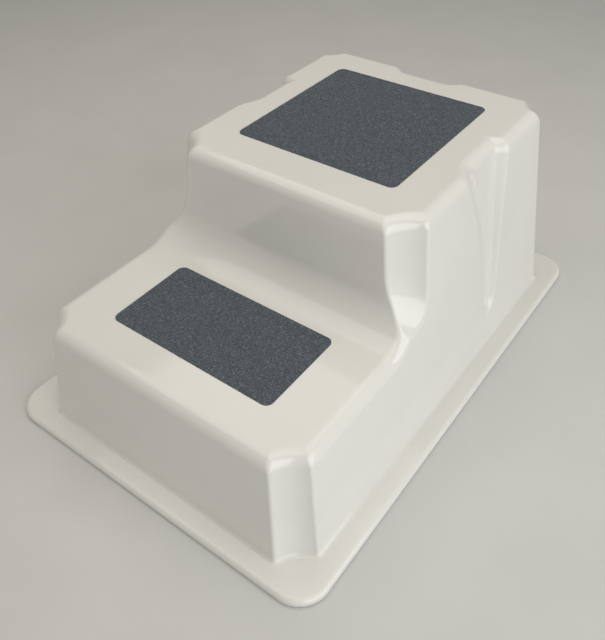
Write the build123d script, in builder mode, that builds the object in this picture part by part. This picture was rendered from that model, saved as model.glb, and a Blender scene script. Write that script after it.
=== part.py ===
"""Two-tread spa steps: a drafted one-piece moulding with a perimeter flange, a grip pad on each tread,
a stiffening panel under each tread and rubber feet under the flange.

Millimetres. X is across the steps, -Y is the side that is climbed from, +Z is up.
The origin is on the floor, under the middle of the flange.
"""

from build123d import *
import math
import os

os.makedirs("parts", exist_ok=True)

# How far cutters run on past the faces they cut, and how near counts as touching
OVERSHOOT = 40.0
TOUCH = 0.01

# Driving dimensions of the moulding
BASE_WIDTH = 635.0
BASE_LENGTH = 930.0
BASE_CORNER = 50.0
FLANGE_TOP = 14.5
LIP_RADIUS = 8.0
JUNCTION_RADIUS = 7.0
LIP_CLEARANCE = 1.5
WALL = 5.0
SIDE_MARGIN = 38.5
FRONT_MARGIN = 36.0
BACK_MARGIN = 40.0
LOWER_TREAD = 201.5
UPPER_TREAD = 378.5
RISER_SETBACK = 370.0
SIDE_DRAFT = 8.3
END_DRAFT = 8.75
RISER_DRAFT = 4.0
SWEEP_RADIUS = 58.0
EDGE_RADIUS = 19.0

# Coves down the corners, given by how far each reaches along the end wall and along the side wall.
# COVE_UPRIGHT is how far a cove leans out of its corner, for each millimetre upwards.
COVE_RADIUS = 68.0
COVE_LEG_END = 43.5
COVE_LEG_SIDE = 44.5
COVE_UPRIGHT = 0.022
COVE_RIM = 4.0

# Scoops down the corners of the riser: axes measured outwards from the side and forwards from the riser
SCOOP_RADIUS = 83.0
SCOOP_OUT = 35.0
SCOOP_AHEAD = 30.0

# The foot of a scoop. Below SCOOP_TOP it runs out of the side on an arc, and ends at SCOOP_END.
SCOOP_TOP = 298.0
SCOOP_END = 206.0
SCOOP_RUN_OUT = 110.0
SCOOP_DEPTH = 43.0
SCOOP_THINNEST = 0.15
SCOOP_FOOT_SECTIONS = 7

# Stacking channels, from the foot up: (height, depth, floor from and to, mouth from and to).
# The side channels are measured back from the flange's front edge, the back one from the middle.
SIDE_CHANNEL = (
    (71.0, 0.5, 620.0, 622.0, 617.0, 625.0),
    (82.0, 5.5, 618.0, 631.0, 608.0, 640.0),
    (104.0, 8.0, 616.0, 640.0, 599.0, 648.0),
    (250.0, 12.5, 609.0, 652.0, 575.0, 660.0),
    (378.5, 16.5, 568.0, 658.0, 530.0, 678.0),
)
BACK_CHANNEL = (
    (71.0, 0.5, -1.0, 1.0, -4.0, 4.0),
    (82.0, 5.5, -6.0, 6.0, -16.0, 16.0),
    (104.0, 8.0, -11.0, 11.0, -25.0, 25.0),
    (250.0, 12.5, -19.0, 19.0, -41.0, 41.0),
    (378.5, 16.5, -38.0, 38.0, -73.0, 73.0),
)

# Grip pads
PAD_THICKNESS = 1.2
PAD_CORNER = 12.0
LOWER_PAD = (311.0, 159.0)
LOWER_PAD_SETBACK = 216.5
UPPER_PAD = (298.0, 304.5)
UPPER_PAD_SETBACK = 604.0

# Stiffening panels and the laminate over them
PANEL_THICKNESS = 12.0
PANEL_CORNER = 30.0
LOWER_PANEL = (380.0, 170.0)
LOWER_PANEL_SETBACK = 200.0
UPPER_PANEL = (340.0, 370.0)
UPPER_PANEL_SETBACK = 600.0
OVERLAY = 2.0
OVERLAY_LAP = 16.0

# Rubber feet
FOOT = (24.0, 70.0)
FOOT_CORNER = 5.0
FOOT_CHAMFER = 1.0
FOOT_COLUMN = 295.0
FOOT_ROW = 380.0

front = -BASE_LENGTH / 2
body_half = BASE_WIDTH / 2 - SIDE_MARGIN
body_front = front + FRONT_MARGIN
body_back = -front - BACK_MARGIN
riser_top = front + RISER_SETBACK


def slope(degrees):
    return math.tan(math.radians(degrees))


def half_width(z):
    """Half the width of the moulding at height z."""
    return body_half - slope(SIDE_DRAFT) * (z - FLANGE_TOP)


def front_wall(z):
    return body_front + slope(END_DRAFT) * (z - FLANGE_TOP)


def back_wall(z):
    return body_back - slope(END_DRAFT) * (z - FLANGE_TOP)


def riser(z):
    return riser_top - slope(RISER_DRAFT) * (UPPER_TREAD - z)


def drafted_body(inset, foot):
    """Both steps between their drafted walls, all faces moved in by inset, from height foot up."""
    low = LOWER_TREAD - inset
    high = UPPER_TREAD - inset
    end_inset = inset / math.cos(math.radians(END_DRAFT))
    side_inset = inset / math.cos(math.radians(SIDE_DRAFT))
    riser_inset = inset / math.cos(math.radians(RISER_DRAFT))
    with BuildPart() as body:
        with BuildSketch(Plane.YZ) as side_view:
            with BuildLine():
                Polyline(
                    (front_wall(foot) + end_inset, foot),
                    (front_wall(low) + end_inset, low),
                    (riser(low) + riser_inset, low),
                    (riser(high) + riser_inset, high),
                    (back_wall(high) - end_inset, high),
                    (back_wall(foot) - end_inset, foot),
                    close=True,
                )
            make_face()
            inner_corner = side_view.vertices().sort_by_distance((0, riser(low) + riser_inset, low))[0]
            fillet(inner_corner, SWEEP_RADIUS + inset)
        extrude(amount=body_half + OVERSHOOT, both=True)
        with BuildSketch(Plane.XZ):
            wide = half_width(foot) - side_inset
            narrow = half_width(high) - side_inset
            with BuildLine():
                Polyline((-wide, foot), (wide, foot), (narrow, high), (-narrow, high), close=True)
            make_face()
        extrude(amount=BASE_LENGTH, both=True, mode=Mode.INTERSECT)
        rounded = [edge for edge in body.edges() if above(edge, foot) and not across_sweep(edge, high)]
        fillet(rounded, EDGE_RADIUS - inset)
    return body.part


def above(edge, foot):
    return edge.center().Z > foot + TOUCH


def across_sweep(edge, high):
    """The two straight edges where the sweep runs out into the tread and the riser."""
    middle = edge.center()
    start = riser(high) - 2 * (SWEEP_RADIUS + EDGE_RADIUS)
    return abs(middle.X) < TOUCH and start < middle.Y < riser(high) - TOUCH


def cove_centre(leg_end, leg_side, radius):
    """Where the axis of a corner cove stands, measured outwards from the sharp corner, in plan."""
    chord = math.hypot(leg_end, leg_side)
    reach = math.sqrt(radius**2 - (chord / 2) ** 2)
    out_side = -leg_end / 2 + reach * leg_side / chord
    out_end = -leg_side / 2 + reach * leg_end / chord
    return out_side, out_end


def corner_cove(end_wall, outward, inset):
    """A round bar for the full-height cove on the +X corner; outward is -1 at the front, +1 at the back."""
    out_side, out_end = cove_centre(COVE_LEG_END, COVE_LEG_SIDE, COVE_RADIUS)
    ends = []
    for z in (-OVERSHOOT, UPPER_TREAD + OVERSHOOT):
        out = COVE_UPRIGHT * (z - FLANGE_TOP)
        ends.append(Vector(half_width(z) + out_side + out, end_wall(z) + outward * (out_end + out), z))
    with BuildPart() as cutter:
        with BuildSketch(Plane(origin=ends[0], z_dir=ends[1] - ends[0])):
            Circle(COVE_RADIUS + inset)
        extrude(amount=(ends[1] - ends[0]).length)
    return cutter.part


def scoop_section(z, inset):
    """The scoop's section at height z: its centre, and its radii across and along the steps."""
    drop = min(max(LOWER_TREAD + SWEEP_RADIUS - z, 0), SWEEP_RADIUS)
    forward = SWEEP_RADIUS - math.sqrt(SWEEP_RADIUS**2 - drop**2)
    low = max(SCOOP_TOP - z, 0)
    depth = math.sqrt(SCOOP_RUN_OUT**2 - low**2) - (SCOOP_RUN_OUT - SCOOP_DEPTH)
    share = max(depth / SCOOP_DEPTH, SCOOP_THINNEST)
    outward = max(SCOOP_THINNEST * SCOOP_DEPTH - depth, 0)
    centre = (half_width(z) + outward + share * SCOOP_OUT, riser(z) - forward - SCOOP_AHEAD, z)
    return centre, share * SCOOP_RADIUS + inset, SCOOP_RADIUS + inset


def riser_scoop(inset):
    """The scoop on the +X corner of the riser, which follows the sweep forwards as it runs out."""
    step = (SCOOP_TOP - SCOOP_END) / SCOOP_FOOT_SECTIONS
    foot_heights = [SCOOP_TOP - i * step for i in range(SCOOP_FOOT_SECTIONS + 1)]
    with BuildPart() as cutter:
        for heights in ((SCOOP_TOP, UPPER_TREAD + OVERSHOOT), foot_heights):
            for z in heights:
                centre, across, along = scoop_section(z, inset)
                with BuildSketch(Plane(origin=centre)):
                    Ellipse(across, along)
            loft()
    return cutter.part


def channel_cutter(wall_at, outward, start, stations, inset):
    """A stacking channel cut into one wall; start is where the stations' borders are measured from."""
    with BuildPart() as cutter:
        for z, depth, floor_from, floor_to, mouth_from, mouth_to in carried_up(stations):
            flare_from = (floor_from - mouth_from) / depth * OVERSHOOT
            flare_to = (mouth_to - floor_to) / depth * OVERSHOOT
            with BuildSketch(Plane(origin=(0, 0, z), x_dir=outward, z_dir=(0, 0, 1))):
                with BuildLine():
                    Polyline(
                        (wall_at(z) - depth, start + floor_from),
                        (wall_at(z) - depth, start + floor_to),
                        (wall_at(z) + OVERSHOOT, start + mouth_to + flare_to),
                        (wall_at(z) + OVERSHOOT, start + mouth_from - flare_from),
                        close=True,
                    )
                make_face()
                if inset:
                    offset(amount=inset, kind=Kind.INTERSECTION)
        loft(ruled=True)
    return cutter.part


def carried_up(stations):
    """The stations, with the last one carried on upwards past the tread."""
    below, top = stations[-2:]
    share = OVERSHOOT / (top[0] - below[0])
    carried = tuple(t + share * (t - b) for t, b in zip(top, below))
    return (*stations[:-1], carried)


def cove_rims(form, foot):
    """The sharp edges where the coves leave the walls and the treads."""
    coves = form.faces().filter_by(lambda f: f.radius is not None and f.radius > SWEEP_RADIUS)
    rims = [edge for cove in coves for edge in cove.edges() if edge.center().Z > foot + EDGE_RADIUS]
    seams = [edge for edge in rims if sum(edge.is_same(other) for other in rims) > 1]
    return [edge for edge in rims if not any(edge.is_same(seam) for seam in seams)]


def step_form(inset, foot):
    """The whole moulded form with its coves and channels, every face moved in by inset."""
    corner_coves = [corner_cove(front_wall, -1, inset), corner_cove(back_wall, 1, inset)]
    scoop = riser_scoop(inset)
    side_channel = channel_cutter(half_width, (1, 0, 0), front, SIDE_CHANNEL, inset)
    back_channel = channel_cutter(back_wall, (0, 1, 0), 0, BACK_CHANNEL, inset)
    with BuildPart() as form:
        add(drafted_body(inset, foot))
        for cutter in corner_coves:
            add(cutter, mode=Mode.SUBTRACT)
            add(mirror(cutter, about=Plane.YZ), mode=Mode.SUBTRACT)
        if not inset:
            fillet(cove_rims(form.part, foot), COVE_RIM)
        for cutter in (scoop, side_channel):
            add(cutter, mode=Mode.SUBTRACT)
            add(mirror(cutter, about=Plane.YZ), mode=Mode.SUBTRACT)
        add(back_channel, mode=Mode.SUBTRACT)
    return form.part


def rounded_panel(size, setback, bottom, thickness, corner):
    """A flat panel with rounded corners; setback is its centre's distance behind the flange's front edge."""
    with BuildPart() as panel:
        with BuildSketch(Plane.XY.offset(bottom)):
            with Locations((0, front + setback)):
                RectangleRounded(*size, corner)
        extrude(amount=thickness)
    return panel.part


def overlay_tray(size, setback, tread):
    """Laminate over a stiffening panel: a shallow tray with a lap that bonds to the underside of the tread."""
    ceiling = tread - WALL
    drop = PANEL_THICKNESS + OVERLAY
    lapped = (size[0] + 2 * OVERLAY_LAP, size[1] + 2 * OVERLAY_LAP)
    wrapped = (size[0] + 2 * OVERLAY, size[1] + 2 * OVERLAY)
    with BuildPart() as tray:
        add(rounded_panel(lapped, setback, ceiling - OVERLAY, OVERLAY, PANEL_CORNER + OVERLAY_LAP))
        add(rounded_panel(wrapped, setback, ceiling - drop, drop, PANEL_CORNER + OVERLAY))
        add(stiffening_panel(size, setback, tread), mode=Mode.SUBTRACT)
    return tray.part


def stiffening_panel(size, setback, tread):
    bottom = tread - WALL - PANEL_THICKNESS
    return rounded_panel(size, setback, bottom, PANEL_THICKNESS, PANEL_CORNER)


def rubber_foot(side, row):
    """A rubber block bonded in the hollow of the flange, standing just below the lip."""
    with BuildPart() as foot:
        with BuildSketch():
            with Locations((side * FOOT_COLUMN, row)):
                RectangleRounded(*FOOT, FOOT_CORNER)
        extrude(amount=FLANGE_TOP - WALL)
        chamfer(foot.faces().sort_by(Axis.Z)[0].edges(), FOOT_CHAMFER)
    return foot.part


def inside_flange(edge):
    """True for the edges at the foot of the walls, false for those along the lip."""
    middle = edge.center()
    return abs(middle.X) < body_half + LIP_RADIUS and abs(middle.Y) < body_back + LIP_RADIUS


def write(piece, name):
    piece.label = name
    export_step(piece, f"parts/{name}.step")


outer_form = step_form(0, FLANGE_TOP - WALL)
inner_form = step_form(WALL, 0)

with BuildPart() as step_shell:
    with BuildSketch(Plane.XY.offset(LIP_CLEARANCE)):
        RectangleRounded(BASE_WIDTH, BASE_LENGTH, BASE_CORNER)
    extrude(amount=FLANGE_TOP - LIP_CLEARANCE)
    fillet(step_shell.faces().sort_by(Axis.Z)[-1].edges(), LIP_RADIUS)
    add(outer_form)
    at_flange_top = step_shell.edges().filter_by_position(Axis.Z, FLANGE_TOP - TOUCH, FLANGE_TOP + TOUCH)
    fillet(at_flange_top.filter_by(inside_flange), JUNCTION_RADIUS)
    with BuildSketch(Plane.XY):
        RectangleRounded(BASE_WIDTH - 2 * WALL, BASE_LENGTH - 2 * WALL, BASE_CORNER - WALL)
    extrude(amount=FLANGE_TOP - WALL, mode=Mode.SUBTRACT)
    add(inner_form, mode=Mode.SUBTRACT)
write(step_shell.part, "step_shell")

TREADS = {
    "lower": (LOWER_TREAD, LOWER_PAD, LOWER_PAD_SETBACK, LOWER_PANEL, LOWER_PANEL_SETBACK),
    "upper": (UPPER_TREAD, UPPER_PAD, UPPER_PAD_SETBACK, UPPER_PANEL, UPPER_PANEL_SETBACK),
}
for step, (tread, pad, pad_setback, panel, panel_setback) in TREADS.items():
    write(rounded_panel(pad, pad_setback, tread, PAD_THICKNESS, PAD_CORNER), f"{step}_grip_pad")
    write(stiffening_panel(panel, panel_setback, tread), f"{step}_tread_panel")
    write(overlay_tray(panel, panel_setback, tread), f"{step}_panel_overlay")

FOOT_ROWS = {"front": -FOOT_ROW, "middle": 0.0, "back": FOOT_ROW}
for place, row in FOOT_ROWS.items():
    write(rubber_foot(-1, row), f"foot_{place}_left")
    write(rubber_foot(1, row), f"foot_{place}_right")
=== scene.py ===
"""Looks of the two-tread spa steps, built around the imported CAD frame. Metres, the frame's own axes."""

import math

import bpy
import numpy as np
from mathutils import Matrix, Vector


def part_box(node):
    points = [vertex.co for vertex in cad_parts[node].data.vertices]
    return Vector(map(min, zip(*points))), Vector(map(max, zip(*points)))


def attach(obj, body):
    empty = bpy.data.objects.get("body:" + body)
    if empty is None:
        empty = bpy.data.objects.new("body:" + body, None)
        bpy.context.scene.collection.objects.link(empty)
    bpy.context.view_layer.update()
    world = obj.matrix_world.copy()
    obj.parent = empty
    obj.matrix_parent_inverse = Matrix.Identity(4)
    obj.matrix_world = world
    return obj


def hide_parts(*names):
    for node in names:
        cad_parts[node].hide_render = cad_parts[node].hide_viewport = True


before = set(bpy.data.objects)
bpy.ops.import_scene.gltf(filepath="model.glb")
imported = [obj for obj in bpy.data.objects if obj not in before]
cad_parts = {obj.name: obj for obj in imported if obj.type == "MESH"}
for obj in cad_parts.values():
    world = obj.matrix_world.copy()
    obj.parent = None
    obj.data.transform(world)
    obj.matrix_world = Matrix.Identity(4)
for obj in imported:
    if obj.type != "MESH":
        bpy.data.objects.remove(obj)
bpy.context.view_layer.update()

# ---------------------------------------------------------------- sizes, from the frame
SHELL_LOW, SHELL_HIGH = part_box("step_shell")
HALF_WIDTH = SHELL_HIGH.x
HALF_LENGTH = SHELL_HIGH.y
LIP_FOOT = SHELL_LOW.z
LOWER_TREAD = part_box("lower_grip_pad")[0].z
UPPER_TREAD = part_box("upper_grip_pad")[0].z
WALL = UPPER_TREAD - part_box("upper_tread_panel")[1].z
FLANGE_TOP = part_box("foot_front_left")[1].z + WALL

# ---------------------------------------------------------------- the moulding's own shape
# As in the CAD, but for the rims of the coves, the backing of the scoops and the channels, which are this
# file's own.
BASE_CORNER = 0.050
LIP_RADIUS = 0.008
JUNCTION_RADIUS = 0.007
SIDE_MARGIN = 0.0385
FRONT_MARGIN = 0.036
BACK_MARGIN = 0.040
RISER_SETBACK = 0.370
SIDE_SLOPE = math.tan(math.radians(8.3))
END_SLOPE = math.tan(math.radians(8.75))
RISER_SLOPE = math.tan(math.radians(4.0))
SWEEP_RADIUS = 0.058
EDGE_RADIUS = 0.019

# Corner coves: how far each reaches along the end wall and the side wall, and how far it leans out per metre
# of height. Their rims are rounder where they run into the round-over of a tread.
COVE_RADIUS = 0.068
COVE_LEG_END = 0.0435
COVE_LEG_SIDE = 0.0445
COVE_UPRIGHT = 0.022
COVE_RIM = 0.0035
COVE_TOP_RIM = 0.012

# Scoops on the corners of the riser: how far their axes are out from the side and ahead of the riser
SCOOP_RADIUS = 0.083
SCOOP_OUT = 0.035
SCOOP_AHEAD = 0.030

# The foot of a scoop: below SCOOP_TOP it thins and runs out of the side on an arc. Of this arc and of the
# sweep, only these shares of the height are followed, which stops short of where they turn level.
SCOOP_TOP = 0.298
SCOOP_RUN_OUT = 0.110
SCOOP_DEPTH = 0.043
SCOOP_THINNEST = 0.15
RUN_OUT_SHARE = 0.95
SWEEP_SHARE = 0.99

# How many skins thick the wall is behind a scoop
SCOOP_BACKING = 1.8

# Stacking channels, from the foot up: (height, depth, floor from and to, mouth from and to). The side ones
# are measured back from the flange's front edge, the back one from the middle. From the foot up, the depth
# comes in over CHANNEL_FOOT_RUN.
SIDE_CHANNEL = (
    (0.071, 0.0069, 0.620, 0.622, 0.617, 0.625),
    (0.082, 0.0072, 0.626, 0.632, 0.607, 0.640),
    (0.104, 0.0080, 0.632, 0.640, 0.599, 0.649),
    (0.250, 0.0125, 0.632, 0.651, 0.575, 0.663),
    (0.3785, 0.0165, 0.582, 0.658, 0.528, 0.678),
)
BACK_CHANNEL = (
    (0.071, 0.0069, -0.001, 0.001, -0.004, 0.004),
    (0.082, 0.0072, -0.006, 0.006, -0.016, 0.016),
    (0.104, 0.0080, -0.011, 0.011, -0.025, 0.025),
    (0.250, 0.0125, -0.019, 0.019, -0.041, 0.041),
    (0.3785, 0.0165, -0.038, 0.038, -0.073, 0.073),
)
CHANNEL_FOOT_RUN = 0.020

# Thickness of the skin, rounding of the lip's lower edges, and the least rounding of a rim on the inner side
SKIN = WALL + 0.0004
LIP_EDGE = 0.0012
SHARP = 0.0008

# Meshing: size of a cell, share of the faces that is kept, and the smoothing of the net
GRID = 0.0025
KEPT_SHARE = 0.5
RELAX_ROUNDS = 3
RELAX_SHARE = 0.6

# Following a field: reach of a probe for its slope, least squared slope that is trusted, least divisor
PROBE = 2e-5
FLATTEST = 0.25
TINY = 1e-9

# A face belongs to the inner side when it is within this share of the skin from the inner form
INNER_SHARE = 0.2

# Grip pads: corners, spacing of the grains, depth of the relief, and how far the edge crumbles
PAD_CORNER = 0.012
CORNER_STEPS = 8
GRAIN = 0.0015
GRIT_DEPTH = 0.00035
RAGGED = 0.00035


def front_wall(z):
    return -HALF_LENGTH + FRONT_MARGIN + END_SLOPE * (z - FLANGE_TOP)


def back_wall(z):
    return HALF_LENGTH - BACK_MARGIN - END_SLOPE * (z - FLANGE_TOP)


def half_width(z):
    return HALF_WIDTH - SIDE_MARGIN - SIDE_SLOPE * (z - FLANGE_TOP)


def riser(z):
    return -HALF_LENGTH + RISER_SETBACK - RISER_SLOPE * (UPPER_TREAD - z)


# ---------------------------------------------------------------- distance fields
def rounded_cut(fields, radius):
    """Where all the fields are negative, with the edge between them rounded."""
    deepest = fields[0]
    for field in fields[1:]:
        deepest = np.maximum(deepest, field)
    squares = sum(np.maximum(field + radius, 0) ** 2 for field in fields)
    return np.minimum(deepest, -radius) + np.sqrt(squares)


def rounded_join(one, other, radius):
    """Where either field is negative, with a fillet of that radius in the corner between them."""
    squares = np.maximum(radius - one, 0) ** 2 + np.maximum(radius - other, 0) ** 2
    return np.maximum(np.minimum(one, other), radius) - np.sqrt(squares)


def slanted(distance, slope):
    """The distance to a sloping plane, from the level distance to it."""
    return distance / math.sqrt(1 + slope**2)


def bar_distance(x, y, z, low, high, radius):
    """Distance outside a round bar through two points."""
    low = np.array(low)
    axis = np.array(high) - low
    axis = axis / np.linalg.norm(axis)
    dx, dy, dz = x - low[0], y - low[1], z - low[2]
    along = dx * axis[0] + dy * axis[1] + dz * axis[2]
    dx, dy, dz = dx - along * axis[0], dy - along * axis[1], dz - along * axis[2]
    return np.sqrt(dx * dx + dy * dy + dz * dz) - radius


def corner_cove(x, y, z, end_wall, outward):
    """Distance outside the round bar that hollows the corner between a side wall and an end wall."""
    chord = math.hypot(COVE_LEG_END, COVE_LEG_SIDE)
    reach = math.sqrt(COVE_RADIUS**2 - (chord / 2) ** 2)
    out_side = -COVE_LEG_END / 2 + reach * COVE_LEG_SIDE / chord
    out_end = -COVE_LEG_SIDE / 2 + reach * COVE_LEG_END / chord
    ends = []
    for height in (FLANGE_TOP, UPPER_TREAD):
        out = COVE_UPRIGHT * (height - FLANGE_TOP)
        across = half_width(height) + out_side + out
        ends.append((across, end_wall(height) + outward * (out_end + out), height))
    return bar_distance(x, y, z, *ends, COVE_RADIUS)


def riser_scoop(x, y, z, inset):
    """Distance outside the scoop on the riser's corner, which follows the sweep forwards as it runs out."""
    drop = np.clip(LOWER_TREAD + SWEEP_RADIUS - z, 0, SWEEP_SHARE * SWEEP_RADIUS)
    sweep_run = np.sqrt(SWEEP_RADIUS**2 - drop**2)
    low = np.clip(SCOOP_TOP - z, 0, RUN_OUT_SHARE * SCOOP_RUN_OUT)
    scoop_run = np.sqrt(SCOOP_RUN_OUT**2 - low**2)
    depth = scoop_run - (SCOOP_RUN_OUT - SCOOP_DEPTH)
    share = np.maximum(depth / SCOOP_DEPTH, SCOOP_THINNEST)
    outward = np.maximum(SCOOP_THINNEST * SCOOP_DEPTH - depth, 0)
    share_climb = np.where(outward > 0, 0, low / scoop_run / SCOOP_DEPTH)
    outward_climb = np.where(outward > 0, -low / scoop_run, 0)
    wide = share * SCOOP_RADIUS + inset
    long = SCOOP_RADIUS + inset
    across = (x - half_width(z) - outward - share * SCOOP_OUT) / wide
    along = (y - riser(z) + SWEEP_RADIUS - sweep_run + SCOOP_AHEAD) / long
    centre_climb = SIDE_SLOPE - outward_climb - SCOOP_OUT * share_climb
    across_climb = (centre_climb - across * share_climb * SCOOP_RADIUS) / wide
    along_climb = (-RISER_SLOPE - drop / sweep_run) / long
    radius = np.hypot(across, along)
    steepness = np.hypot(np.hypot(across / wide, along / long), across * across_climb + along * along_climb)
    return (radius - 1) * radius / np.maximum(steepness, TINY)


def eased(value):
    """Rises from 0 to 1 with a level start and a level end, and says how steeply."""
    share = np.clip(value, 0, 1)
    return share * share * (3 - 2 * share), 6 * share * (1 - share)


def smooth_between(z, heights, values):
    """A curve through the values, without a corner at any of the heights and without swinging past them."""
    spans = np.diff(heights)
    climbs = np.diff(values) / spans
    product = climbs[:-1] * climbs[1:]
    total = climbs[:-1] + climbs[1:]
    inner = np.where(product > 0, 2 * product / np.where(product > 0, total, 1), 0)
    slopes = np.concatenate([climbs[:1], inner, climbs[-1:]])
    z = np.clip(z, heights[0], heights[-1])
    at = np.clip(np.searchsorted(heights, z, side="right") - 1, 0, len(spans) - 1)
    span = spans[at]
    share = (z - np.array(heights)[at]) / span
    value = np.array(values)[at] + share * share * (3 - 2 * share) * np.diff(values)[at]
    value = value + share * (1 - share) ** 2 * span * slopes[at]
    return value - share * share * (1 - share) * span * slopes[at + 1]


def channelled(wall, along, z, stations):
    """The distance outside a wall with a stacking channel pressed into it; along is across the channel."""
    heights = [station[0] for station in stations]
    depth, *borders = [smooth_between(z, heights, column) for column in list(zip(*stations))[1:]]
    floor_low, floor_high, mouth_low, mouth_high = borders
    depth = depth * eased((z - heights[0]) / CHANNEL_FOOT_RUN)[0]
    low_ramp = floor_low - mouth_low
    high_ramp = mouth_high - floor_high
    low, low_climb = eased((along - mouth_low) / low_ramp)
    high, high_climb = eased((mouth_high - along) / high_ramp)
    climb = depth * (low_climb * high / low_ramp - low * high_climb / high_ramp)
    return (wall + depth * low * high) / np.sqrt(1 + climb**2)


def rim_radius(z, tread):
    """The radius of a cove's rims, which grows where the rims run into the round-over of the tread."""
    return COVE_RIM + (COVE_TOP_RIM - COVE_RIM) * eased((z - tread + EDGE_RADIUS) / EDGE_RADIUS)[0]


def step_form(x, y, z, inset):
    """Signed distance to the moulded form, every face moved in by inset. It runs on down past the floor."""
    x = np.abs(x)
    side = channelled(slanted(x - half_width(z), SIDE_SLOPE), y + HALF_LENGTH, z, SIDE_CHANNEL)
    back = channelled(slanted(y - back_wall(z), END_SLOPE), x, z, BACK_CHANNEL)
    front = slanted(front_wall(z) - y, END_SLOPE)
    walls = np.maximum(np.maximum(side, front), back) + inset
    low_rim = np.maximum(rim_radius(z, LOWER_TREAD) - inset, SHARP)
    high_rim = np.maximum(rim_radius(z, UPPER_TREAD) - inset, SHARP)
    walls = rounded_cut([walls, inset - corner_cove(x, y, z, front_wall, -1)], low_rim)
    walls = rounded_cut([walls, inset - corner_cove(x, y, z, back_wall, 1)], high_rim)
    rise = slanted(riser(z) - y, RISER_SLOPE) + inset
    steps = rounded_join(z - LOWER_TREAD + inset, rise, SWEEP_RADIUS + inset)
    steps = rounded_cut([steps, walls], EDGE_RADIUS - inset)
    steps = rounded_cut([steps, -riser_scoop(x, y, z, SCOOP_BACKING * inset)], high_rim)
    return rounded_cut([steps, z - UPPER_TREAD + inset], EDGE_RADIUS - inset)


def flange_form(x, y, z, inset):
    """Signed distance to the flange as a solid plate with rounded corners and a rounded lip."""
    inner_x = np.abs(x) - (HALF_WIDTH - BASE_CORNER)
    inner_y = np.abs(y) - (HALF_LENGTH - BASE_CORNER)
    corner = np.sqrt(np.maximum(inner_x, 0) ** 2 + np.maximum(inner_y, 0) ** 2)
    outline = corner + np.minimum(np.maximum(inner_x, inner_y), 0) - BASE_CORNER
    return rounded_cut([outline + inset, z - FLANGE_TOP + inset], LIP_RADIUS - inset)


def moulded_form(points, inset=0.0):
    """Signed distance to the whole moulding as if it were solid, with a fillet between walls and flange."""
    return rounded_join(step_form(*points, inset), flange_form(*points, inset), JUNCTION_RADIUS + inset)


def shell_field(points):
    """Signed distance to the moulding itself: a skin of even thickness, open underneath."""
    skin = np.maximum(moulded_form(points), -moulded_form(points, SKIN))
    return rounded_cut([skin, LIP_FOOT - points[2]], LIP_EDGE)


# ---------------------------------------------------------------- meshing a field
def sampled(field, axes):
    values = np.empty([len(axis) for axis in axes], np.float32)
    y, z = np.meshgrid(axes[1], axes[2], indexing="ij")
    for i, x in enumerate(axes[0]):
        values[i] = field((np.full_like(y, x), y, z))
    return values


def crossings(values, inside):
    """For each cell, the sum and the number of the points where its edges cross the surface."""
    cells = tuple(n - 1 for n in values.shape)
    total = np.zeros(cells + (3,), np.float32)
    count = np.zeros(cells, np.int8)
    for start in np.ndindex(2, 2, 2):
        for axis in range(3):
            if start[axis]:
                continue
            end = tuple(v + (k == axis) for k, v in enumerate(start))
            one = tuple(slice(s, s + n) for s, n in zip(start, cells))
            two = tuple(slice(s, s + n) for s, n in zip(end, cells))
            where = np.nonzero(inside[one] != inside[two])
            a, b = values[one][where], values[two][where]
            place = np.tile(np.array(start, np.float32), (len(a), 1))
            place[:, axis] += a / (a - b)
            total[where] += place
            count[where] += 1
    return total, count


def quads_across(axis, inside, number):
    """The quads that face along an axis: one for each edge of the grid that crosses the surface."""
    u, v = (axis + 1) % 3, (axis + 2) % 3
    near = [slice(1, n) for n in number.shape]
    near[axis] = slice(0, number.shape[axis])
    far = list(near)
    far[axis] = slice(1, number.shape[axis] + 1)
    one, two = inside[tuple(near)], inside[tuple(far)]
    quads = []
    for entering in (True, False):
        where = np.stack(np.nonzero(one & ~two if entering else ~one & two), 1)
        where = where + np.array([0 if k == axis else 1 for k in range(3)])
        ring = []
        for du, dv in ((-1, -1), (0, -1), (0, 0), (-1, 0)):
            at = where.copy()
            at[:, u] += du
            at[:, v] += dv
            ring.append(number[tuple(at.T)])
        quads.append(np.stack(ring if entering else ring[::-1], 1))
    return np.concatenate(quads)


def surface_net(field, low, high, cell):
    """Quads around the zero surface of a field: one point in each cell that it crosses."""
    axes = [np.arange(a - 2 * cell, b + 3 * cell, cell) for a, b in zip(low, high)]
    values = sampled(field, axes)
    inside = values < 0
    total, count = crossings(values, inside)
    active = np.nonzero(count)
    number = np.full(count.shape, -1, np.int64)
    number[active] = np.arange(len(active[0]))
    origin = np.array([axis[0] for axis in axes])
    points = (np.stack(active, 1) + total[active] / count[active][:, None]) * cell + origin
    return points, np.concatenate([quads_across(axis, inside, number) for axis in range(3)])


def field_gradient(field, points):
    gradient = np.empty_like(points)
    for axis in range(3):
        shift = np.zeros(3)
        shift[axis] = PROBE
        ahead = field((points + shift).T)
        behind = field((points - shift).T)
        gradient[:, axis] = (ahead - behind) / (2 * PROBE)
    return gradient


def pull_to_surface(field, points):
    """Moves every point down the field's slope onto its zero surface, but never by more than a cell."""
    gradient = field_gradient(field, points)
    slope = np.maximum((gradient**2).sum(1), FLATTEST)
    step = -(field(points.T) / slope)[:, None] * gradient
    length = np.linalg.norm(step, axis=1)
    return points + step * np.minimum(1, GRID / np.maximum(length, TINY))[:, None]


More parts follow.
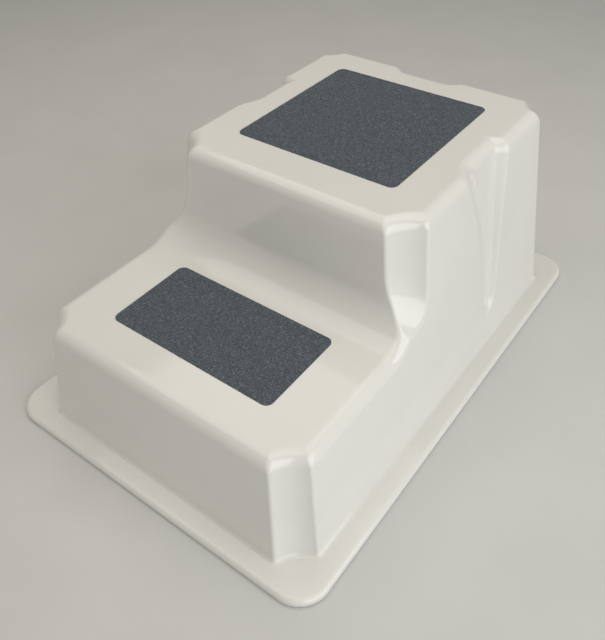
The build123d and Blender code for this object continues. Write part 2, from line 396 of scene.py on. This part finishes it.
def relax(field, points, quads):
    """Evens out the net, and keeps every point on the surface."""
    edges = np.concatenate([quads[:, [k, (k + 1) % 4]] for k in range(4)])
    edges = np.concatenate([edges, edges[:, ::-1]])
    degree = np.bincount(edges[:, 0], minlength=len(points))
    for _ in range(RELAX_ROUNDS):
        mean = np.empty_like(points)
        for axis in range(3):
            mean[:, axis] = np.bincount(edges[:, 0], points[edges[:, 1], axis], len(points)) / degree
        points = pull_to_surface(field, (1 - RELAX_SHARE) * points + RELAX_SHARE * mean)
    return pull_to_surface(field, points)


def mesh_object(name, points, faces):
    mesh = bpy.data.meshes.new(name)
    mesh.from_pydata(points.tolist(), [], faces)
    mesh.polygons.foreach_set("use_smooth", np.ones(len(mesh.polygons), bool))
    piece = bpy.data.objects.new(name, mesh)
    bpy.context.scene.collection.objects.link(piece)
    return piece


def thin_out(piece, share):
    """Merges the points that the flat stretches don't need, down to a share of the faces."""
    thin = piece.modifiers.new("thin", "DECIMATE")
    thin.ratio = share
    graph = bpy.context.evaluated_depsgraph_get()
    mesh = bpy.data.meshes.new_from_object(piece.evaluated_get(graph))
    piece.modifiers.clear()
    piece.data = mesh


def read_points(mesh):
    flat = np.empty(len(mesh.vertices) * 3)
    mesh.vertices.foreach_get("co", flat)
    return flat.reshape(-1, 3)


def smooth_by_field(piece, field):
    """Puts every point back on the surface, and shades it by the surface's own normals."""
    points = pull_to_surface(field, read_points(piece.data))
    piece.data.vertices.foreach_set("co", points.ravel())
    gradient = field_gradient(field, points)
    normals = gradient / np.linalg.norm(gradient, axis=1)[:, None]
    piece.data.normals_split_custom_set_from_vertices(normals.tolist())


# ---------------------------------------------------------------- materials
def new_material(name):
    material = bpy.data.materials.new(name)
    material.use_nodes = True
    nodes = material.node_tree.nodes
    shader = nodes["Principled BSDF"]
    return material, nodes, material.node_tree.links, shader


def texture(nodes, links, kind, scale, stretch=(1, 1, 1), **settings):
    """A procedural texture in object coordinates, with its inputs set by name."""
    coords = nodes.new("ShaderNodeTexCoord")
    mapping = nodes.new("ShaderNodeMapping")
    mapping.inputs["Scale"].default_value = stretch
    links.new(coords.outputs["Object"], mapping.inputs["Vector"])
    node = nodes.new(kind)
    links.new(mapping.outputs["Vector"], node.inputs["Vector"])
    node.inputs["Scale"].default_value = scale
    for key, value in settings.items():
        node.inputs[key.replace("_", " ")].default_value = value
    return node


def ramp(nodes, links, source, low, high, low_value, high_value):
    """Maps low to high of a value onto low_value to high_value."""
    node = nodes.new("ShaderNodeMapRange")
    links.new(source, node.inputs["Value"])
    node.inputs["From Min"].default_value = low
    node.inputs["From Max"].default_value = high
    node.inputs["To Min"].default_value = low_value
    node.inputs["To Max"].default_value = high_value
    return node.outputs["Result"]


def mix_colors(nodes, links, factor, one, other):
    """A colour between two, each of which is a colour or another node's output."""
    node = nodes.new("ShaderNodeMix")
    node.data_type = "RGBA"
    links.new(factor, node.inputs["Factor"])
    for socket, value in (("A", one), ("B", other)):
        inputs = [i for i in node.inputs if i.name == socket and i.type == "RGBA"]
        if isinstance(value, tuple):
            inputs[0].default_value = (*value, 1)
        else:
            links.new(value, inputs[0])
    return [o for o in node.outputs if o.type == "RGBA"][0]


def bump(nodes, links, height, distance, strength=1.0, base=None):
    node = nodes.new("ShaderNodeBump")
    node.inputs["Distance"].default_value = distance
    node.inputs["Strength"].default_value = strength
    links.new(height, node.inputs["Height"])
    if base is not None:
        links.new(base, node.inputs["Normal"])
    return node.outputs["Normal"]


def gelcoat():
    """Glossy off-white gelcoat: slow drift of colour and gloss, dust specks and a trace of orange peel."""
    material, nodes, links, shader = new_material("gelcoat")
    drift = texture(nodes, links, "ShaderNodeTexNoise", 4.0, Detail=3.0)
    tint = ramp(nodes, links, drift.outputs["Fac"], 0.35, 0.65, 0.0, 1.0)
    base = mix_colors(nodes, links, tint, (0.765, 0.759, 0.724), (0.790, 0.786, 0.754))
    dust = texture(nodes, links, "ShaderNodeTexNoise", 620.0, Detail=1.0)
    specks = ramp(nodes, links, dust.outputs["Fac"], 0.74, 0.80, 0.0, 0.35)
    color = mix_colors(nodes, links, specks, base, (0.42, 0.38, 0.31))
    links.new(color, shader.inputs["Base Color"])
    cloud = texture(nodes, links, "ShaderNodeTexNoise", 9.0, Detail=4.0)
    rough = ramp(nodes, links, cloud.outputs["Fac"], 0.3, 0.7, 0.08, 0.14)
    links.new(rough, shader.inputs["Roughness"])
    shader.inputs["IOR"].default_value = 1.53
    shader.inputs["Coat Weight"].default_value = 0.25
    shader.inputs["Coat Roughness"].default_value = 0.06
    peel = texture(nodes, links, "ShaderNodeTexNoise", 75.0, Detail=2.0)
    waves = texture(nodes, links, "ShaderNodeTexNoise", 11.0, Detail=1.0)
    slow = bump(nodes, links, waves.outputs["Fac"], 0.0006)
    links.new(bump(nodes, links, peel.outputs["Fac"], 0.00006, base=slow), shader.inputs["Normal"])
    return material


def grit():
    """Charcoal mineral grit in resin: dark grains, scattered pale grains, coarse relief."""
    material, nodes, links, shader = new_material("grit")
    grains = texture(nodes, links, "ShaderNodeTexVoronoi", 850.0)
    pick = nodes.new("ShaderNodeSeparateColor")
    links.new(grains.outputs["Color"], pick.inputs["Color"])
    shade = ramp(nodes, links, pick.outputs["Red"], 0.0, 1.0, 0.0, 1.0)
    dark = mix_colors(nodes, links, shade, (0.034, 0.045, 0.058), (0.112, 0.137, 0.168))
    pale = ramp(nodes, links, pick.outputs["Green"], 0.90, 0.97, 0.0, 0.8)
    color = mix_colors(nodes, links, pale, dark, (0.28, 0.30, 0.32))
    links.new(color, shader.inputs["Base Color"])
    shader.inputs["Roughness"].default_value = 0.75
    relief = ramp(nodes, links, grains.outputs["Distance"], 0.0, 0.6, 1.0, 0.0)
    links.new(bump(nodes, links, relief, 0.0005), shader.inputs["Normal"])
    return material


def raw_laminate():
    """Resin and chopped glass strands: short pale fibres lying every way in an amber-grey ground."""
    material, nodes, links, shader = new_material("laminate")
    along = texture(nodes, links, "ShaderNodeTexNoise", 55.0, (1, 7, 3), Detail=2.0, Distortion=1.5)
    across = texture(nodes, links, "ShaderNodeTexNoise", 55.0, (7, 1, 3), Detail=2.0, Distortion=1.5)
    strands = nodes.new("ShaderNodeMath")
    strands.operation = "MAXIMUM"
    links.new(along.outputs["Fac"], strands.inputs[0])
    links.new(across.outputs["Fac"], strands.inputs[1])
    pale = ramp(nodes, links, strands.outputs["Value"], 0.50, 0.68, 0.0, 1.0)
    color = mix_colors(nodes, links, pale, (0.42, 0.37, 0.26), (0.66, 0.62, 0.50))
    links.new(color, shader.inputs["Base Color"])
    links.new(ramp(nodes, links, strands.outputs["Value"], 0.4, 0.7, 0.30, 0.62), shader.inputs["Roughness"])
    links.new(bump(nodes, links, strands.outputs["Value"], 0.0012), shader.inputs["Normal"])
    return material


def plywood():
    """Thin veneers one above the other, each with its grain along the panel."""
    material, nodes, links, shader = new_material("plywood")
    plies = texture(nodes, links, "ShaderNodeTexWave", 130.0, (0, 0, 1), Distortion=0.4)
    plies.bands_direction = "Z"
    grain = texture(nodes, links, "ShaderNodeTexNoise", 45.0, (6, 0.5, 6), Detail=6.0, Distortion=0.6)
    veneer = mix_colors(nodes, links, grain.outputs["Fac"], (0.40, 0.26, 0.13), (0.68, 0.50, 0.31))
    glue = ramp(nodes, links, plies.outputs["Fac"], 0.75, 0.95, 0.0, 0.6)
    links.new(mix_colors(nodes, links, glue, veneer, (0.16, 0.09, 0.05)), shader.inputs["Base Color"])
    shader.inputs["Roughness"].default_value = 0.7
    links.new(bump(nodes, links, grain.outputs["Fac"], 0.0003), shader.inputs["Normal"])
    return material


def plain(name, one, other, scale, roughness, depth):
    """A mottled matt surface between two colours, with a relief of the given depth."""
    material, nodes, links, shader = new_material(name)
    noise = texture(nodes, links, "ShaderNodeTexNoise", scale, Detail=5.0)
    tint = ramp(nodes, links, noise.outputs["Fac"], 0.35, 0.65, 0.0, 1.0)
    links.new(mix_colors(nodes, links, tint, one, other), shader.inputs["Base Color"])
    shader.inputs["Roughness"].default_value = roughness
    links.new(bump(nodes, links, noise.outputs["Fac"], depth), shader.inputs["Normal"])
    return material


# ---------------------------------------------------------------- pieces
def build_shell(outside, inside):
    """The whole moulding, with one material on its outer side and another on its inner side."""
    low = (-HALF_WIDTH, -HALF_LENGTH, LIP_FOOT)
    high = (HALF_WIDTH, HALF_LENGTH, UPPER_TREAD)
    points, quads = surface_net(shell_field, low, high, GRID)
    shell = mesh_object("moulded_shell", relax(shell_field, points, quads), quads.tolist())
    thin_out(shell, KEPT_SHARE)
    smooth_by_field(shell, shell_field)
    shell.data.materials.append(outside)
    shell.data.materials.append(inside)
    centres = np.empty(len(shell.data.polygons) * 3)
    shell.data.polygons.foreach_get("center", centres)
    within = moulded_form(centres.reshape(-1, 3).T, SKIN) < INNER_SHARE * SKIN
    shell.data.polygons.foreach_set("material_index", within.astype(np.int32))
    return shell


def pad_columns(half_x):
    """Places across a pad, closer together round its corners."""
    straight = half_x - PAD_CORNER
    corner = straight + PAD_CORNER * np.sin(np.linspace(0, math.pi / 2, CORNER_STEPS + 1))
    between = np.linspace(-straight, straight, round(2 * straight / GRAIN))
    return np.concatenate([-corner[::-1], between[1:-1], corner])


def grip_pad(name, node, seed):
    """A pad of bonded grit: a rounded rectangle with a rough top and a slightly crumbled edge."""
    low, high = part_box(node)
    middle, half = (low + high) / 2, (high - low) / 2
    columns = pad_columns(half.x)
    past = np.maximum(np.abs(columns) - (half.x - PAD_CORNER), 0)
    reach = half.y - PAD_CORNER + np.sqrt(np.maximum(PAD_CORNER**2 - past**2, 0))
    rows = np.linspace(-1, 1, round(2 * half.y / GRAIN))
    shape = (len(columns), len(rows))
    draw = np.random.default_rng(seed)
    x = middle.x + columns[:, None] - np.sign(columns)[:, None] * RAGGED * draw.random(shape)
    y = middle.y + reach[:, None] * rows - np.sign(rows) * RAGGED * draw.random(shape)
    z = high.z - GRIT_DEPTH * draw.random(shape)
    number = np.arange(x.size).reshape(shape)
    rim = np.concatenate([number[:-1, 0], number[-1, :-1], number[:0:-1, -1], number[0, :0:-1]])
    z.ravel()[rim] -= GRIT_DEPTH
    top = np.stack([x.ravel(), y.ravel(), z.ravel()], 1)
    foot = top[rim]
    foot[:, 2] = low.z
    below = x.size + np.arange(len(rim))
    cells = np.stack([number[:-1, :-1], number[1:, :-1], number[1:, 1:], number[:-1, 1:]], -1)
    skirt = np.stack([rim, below, np.roll(below, -1), np.roll(rim, -1)], 1)
    faces = cells.reshape(-1, 4).tolist() + skirt.tolist() + [below[::-1].tolist()]
    return mesh_object(name, np.concatenate([top, foot]), faces)


def set_material(node, material):
    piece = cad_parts[node]
    piece.data.materials.clear()
    piece.data.materials.append(material)


laminate = raw_laminate()
shell = build_shell(gelcoat(), laminate)
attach(shell, "root")
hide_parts("step_shell")

grit_material = grit()
for seed, step in enumerate(("lower", "upper")):
    pad = grip_pad(f"{step}_grit", f"{step}_grip_pad", seed)
    pad.data.materials.append(grit_material)
    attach(pad, "root")
    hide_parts(f"{step}_grip_pad")

wood = plywood()
rubber = plain("rubber", (0.012, 0.012, 0.013), (0.028, 0.028, 0.030), 200.0, 0.65, 0.0002)
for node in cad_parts:
    if node.endswith("tread_panel"):
        set_material(node, wood)
    elif node.endswith("overlay"):
        set_material(node, laminate)
    elif node.startswith("foot"):
        set_material(node, rubber)

# ---------------------------------------------------------------- camera, floor and light
AZIMUTH = math.radians(37.76)
ELEVATION = math.radians(44.67)
ROLL = math.radians(-1.71)
DISTANCE = 1.0167
TARGET = Vector((0.1066, -0.1840, 0.190))
LENS = 37.64
SENSOR_WIDTH = 36.0
SHIFT_UP = 0.0295
FLOOR_HALF = 15.0

# Lamps: (name, place, size, power, colour); each one faces the middle of the steps
LAMPS = (
    ("overhead", (-0.2, 0.0, 2.4), (3.0, 3.0), 32, (1.0, 0.95, 0.86)),
    ("window", (2.8, -0.6, 1.25), (3.8, 2.4), 56, (0.98, 0.99, 1.0)),
)
SKY_COLOR = (1.0, 0.965, 0.90, 1)
SKY_STRENGTH = 0.27


def add_camera():
    forward = Vector((
        -math.sin(AZIMUTH) * math.cos(ELEVATION),
        math.cos(AZIMUTH) * math.cos(ELEVATION),
        -math.sin(ELEVATION),
    ))
    level = Vector((math.cos(AZIMUTH), math.sin(AZIMUTH), 0))
    right = level * math.cos(ROLL) + level.cross(forward) * math.sin(ROLL)
    up = right.cross(forward)
    data = bpy.data.cameras.new("camera")
    data.lens = LENS
    data.sensor_width = SENSOR_WIDTH
    data.shift_y = SHIFT_UP
    camera = bpy.data.objects.new("camera", data)
    turn = Matrix((right, up, -forward)).transposed()
    camera.matrix_world = Matrix.Translation(TARGET - forward * DISTANCE) @ turn.to_4x4()
    bpy.context.scene.collection.objects.link(camera)
    bpy.context.scene.camera = camera


def add_floor():
    points = FLOOR_HALF * np.array([(-1, -1, 0), (1, -1, 0), (1, 1, 0), (-1, 1, 0)], float)
    floor = mesh_object("floor", points, [(0, 1, 2, 3)])
    floor.data.materials.append(plain("floor", (0.62, 0.62, 0.61), (0.64, 0.64, 0.63), 6.0, 0.8, 0.0))


def add_area_light(name, place, size, power, color):
    data = bpy.data.lights.new(name, "AREA")
    data.shape = "RECTANGLE"
    data.size, data.size_y = size
    data.energy = power
    data.color = color
    light = bpy.data.objects.new(name, data)
    direction = Vector((0, 0, UPPER_TREAD / 2)) - Vector(place)
    light.location = place
    light.rotation_euler = direction.to_track_quat("-Z", "Y").to_euler()
    bpy.context.scene.collection.objects.link(light)


def add_sky():
    world = bpy.data.worlds.new("studio")
    world.use_nodes = True
    background = world.node_tree.nodes["Background"]
    background.inputs["Color"].default_value = SKY_COLOR
    background.inputs["Strength"].default_value = SKY_STRENGTH
    bpy.context.scene.world = world


add_camera()
add_floor()
for lamp in LAMPS:
    add_area_light(*lamp)
add_sky()
bpy.context.scene.view_settings.view_transform = "Standard"
